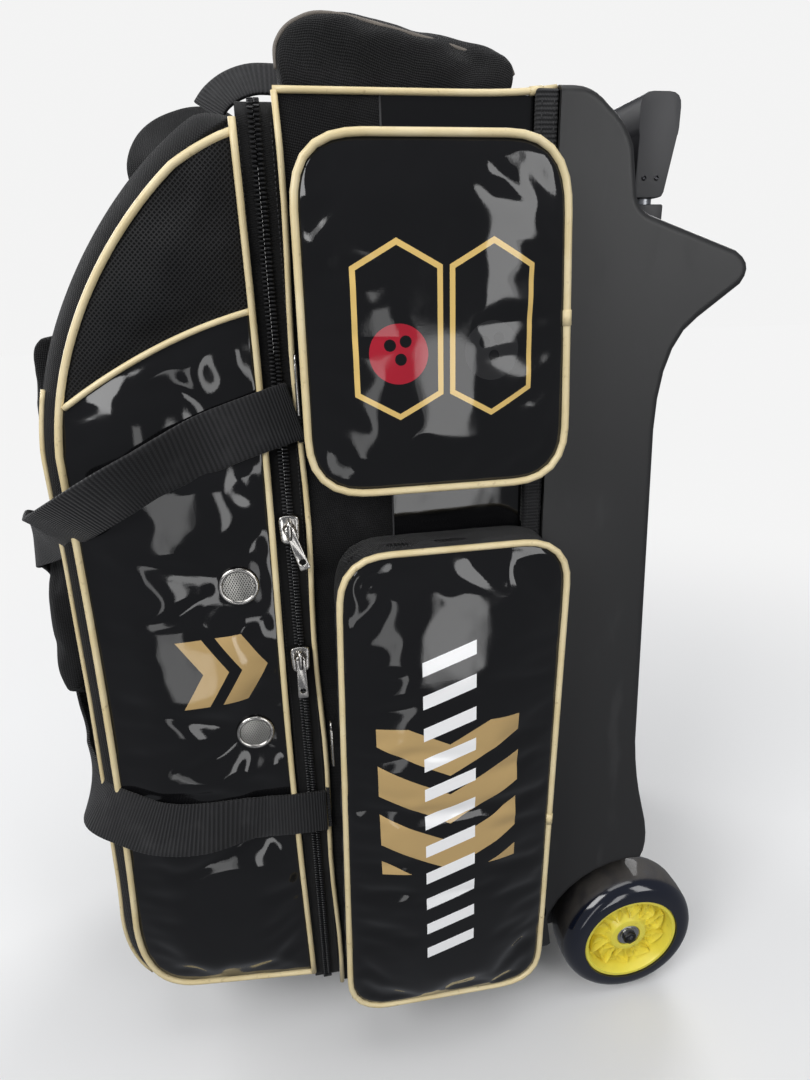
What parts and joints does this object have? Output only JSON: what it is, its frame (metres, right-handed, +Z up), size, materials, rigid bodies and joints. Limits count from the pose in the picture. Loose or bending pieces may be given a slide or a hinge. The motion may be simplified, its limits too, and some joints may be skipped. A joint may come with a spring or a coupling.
{
  "type": "wheeled bowling ball bag",
  "caption": "Upright wheeled bowling ball bag with a moulded rear tray, pull handle, side-opening front lid, side pockets and webbing carry straps.",
  "frame": {"origin": "centre of the bounding box on the ground plane", "axes": "+Z up; -X is the front with the lid, +X is the rear with the tray and wheels; Y runs across, and the bag is symmetric about Y = 0"},
  "size_m": [0.528, 0.35, 0.7822],
  "materials": {
    "patent": "high-gloss patent vinyl",
    "nylon": "matte woven polyester",
    "tray_plastic": "satin moulded plastic",
    "webbing": "woven webbing",
    "zip": "coil zip",
    "zip_metal": "nickel plated",
    "foam": "closed-cell foam",
    "tyre": "glossy urethane",
    "hub": "glossy yellow plastic",
    "steel": "bright steel",
    "tube": "anodised aluminium",
    "grip": "satin grip plastic"
  },
  "bodies": {
    "bag": {"base_tray": "tray_plastic", "tray_binding": "webbing", "ball_cradle": "foam", "body_side_left": "patent", "body_side_right": "patent", "body_top": "nylon", "body_bottom": "nylon", "front_foot_left": "tray_plastic", "front_foot_right": "tray_plastic", "top_pouch": "nylon", "upper_pocket_left": "patent", "upper_pocket_right": "patent", "lower_pocket_left": "patent", "lower_pocket_right": "patent", "zip_body_half": "zip", "strap_anchor_left": "webbing", "strap_anchor_right": "webbing", "axle": "steel", "axle_nut_left": "steel", "axle_nut_right": "steel", "handle_bridge": "tray_plastic", "tube_clamp": "tray_plastic", "guide_tube_left": "tube", "guide_tube_right": "tube", "tube_collar_left": "tray_plastic", "tube_collar_right": "tray_plastic"},
    "lid": {"lid_side_left": "patent", "lid_side_right": "patent", "lid_front": "nylon", "zip_lid_half": "zip", "front_pocket": "nylon", "haul_loop": "webbing", "vent_upper_left": "zip_metal", "vent_lower_left": "zip_metal", "vent_upper_right": "zip_metal", "vent_lower_right": "zip_metal", "carry_strap_right": "webbing"},
    "strap_left": {"carry_strap_left": "webbing"},
    "wheel_left": {"wheel_tyre_left": "tyre", "wheel_hub_left": "hub", "bearing_inner_left": "steel", "bearing_outer_left": "steel"},
    "wheel_right": {"wheel_tyre_right": "tyre", "wheel_hub_right": "hub", "bearing_inner_right": "steel", "bearing_outer_right": "steel"},
    "handle": {"slide_tube_left": "tube", "slide_tube_right": "tube", "handle_grip": "grip"},
    "button": {"release_button": "grip"},
    "slider_upper": {"zip_slider_upper": "zip_metal"},
    "slider_lower": {"zip_slider_lower": "zip_metal"},
    "pull_upper": {"zip_pull_upper": "zip_metal"},
    "pull_lower": {"zip_pull_lower": "zip_metal"},
    "pocket_pull_upper_left": {"pocket_pull_upper_left": "zip_metal"},
    "pocket_pull_lower_left": {"pocket_pull_lower_left": "zip_metal"},
    "pocket_pull_upper_right": {"pocket_pull_upper_right": "zip_metal"},
    "pocket_pull_lower_right": {"pocket_pull_lower_right": "zip_metal"}
  },
  "joints": [
    {"name": "lid_open", "type": "hinge", "parent": "bag", "child": "lid", "pos_m": [-0.0775, 0.132, 0.4], "axis": [0, 0, -1], "range_deg": [0, 90]},
    {"name": "strap_left_swing", "type": "hinge", "parent": "bag", "child": "strap_left", "pos_m": [-0.0675, -0.1345, 0.4], "axis": [0, 0, 1], "range_deg": [0, 90], "deforming": ["carry_strap_left"]},
    {"name": "wheel_left_spin", "type": "hinge", "parent": "bag", "child": "wheel_left", "pos_m": [0.2005, -0.135, 0.0635], "axis": [0, 1, 0], "continuous": true},
    {"name": "wheel_right_spin", "type": "hinge", "parent": "bag", "child": "wheel_right", "pos_m": [0.2005, 0.135, 0.0635], "axis": [0, 1, 0], "continuous": true},
    {"name": "handle_slide", "type": "slide", "parent": "bag", "child": "handle", "axis": [0, 0, 1], "range_m": [0, 0.28]},
    {"name": "release_button", "type": "slide", "parent": "handle", "child": "button", "axis": [0, 0, -1], "range_m": [0, 0.004], "stiffness_N_per_m": 400, "springref_m": -0.001},
    {"name": "zip_slider_upper", "type": "slide", "parent": "bag", "child": "slider_upper", "axis": [0, 0, 1], "range_m": [0, 0.17]},
    {"name": "zip_slider_lower", "type": "slide", "parent": "bag", "child": "slider_lower", "axis": [0, 0, 1], "range_m": [-0.28, 0]},
    {"name": "zip_pull_upper", "type": "hinge", "parent": "slider_upper", "child": "pull_upper", "pos_m": [-0.0775, -0.1406, 0.482], "axis": [-0.9553, 0, -0.2955], "range_deg": [0, 160]},
    {"name": "zip_pull_lower", "type": "hinge", "parent": "slider_lower", "child": "pull_lower", "pos_m": [-0.0775, -0.1406, 0.382], "axis": [-1, 0, 0], "range_deg": [0, 160]},
    {"name": "pocket_pull_upper_left", "type": "hinge", "parent": "bag", "child": "pocket_pull_upper_left", "pos_m": [-0.0655, -0.154, 0.592], "axis": [0, 1, 0], "range_deg": [0, 90]},
    {"name": "pocket_pull_lower_left", "type": "hinge", "parent": "bag", "child": "pocket_pull_lower_left", "pos_m": [-0.0597, -0.154, 0.33], "axis": [0, 1, 0], "range_deg": [0, 90]},
    {"name": "pocket_pull_upper_right", "type": "hinge", "parent": "bag", "child": "pocket_pull_upper_right", "pos_m": [0.104, 0.154, 0.592], "axis": [0, -1, 0], "range_deg": [0, 90]},
    {"name": "pocket_pull_lower_right", "type": "hinge", "parent": "bag", "child": "pocket_pull_lower_right", "pos_m": [0.115, 0.154, 0.33], "axis": [0, -1, 0], "range_deg": [0, 90]}
  ],
  "couplings": [
    {"joint": "strap_left_swing", "follows": "lid_open", "ratio": 1}
  ]
}
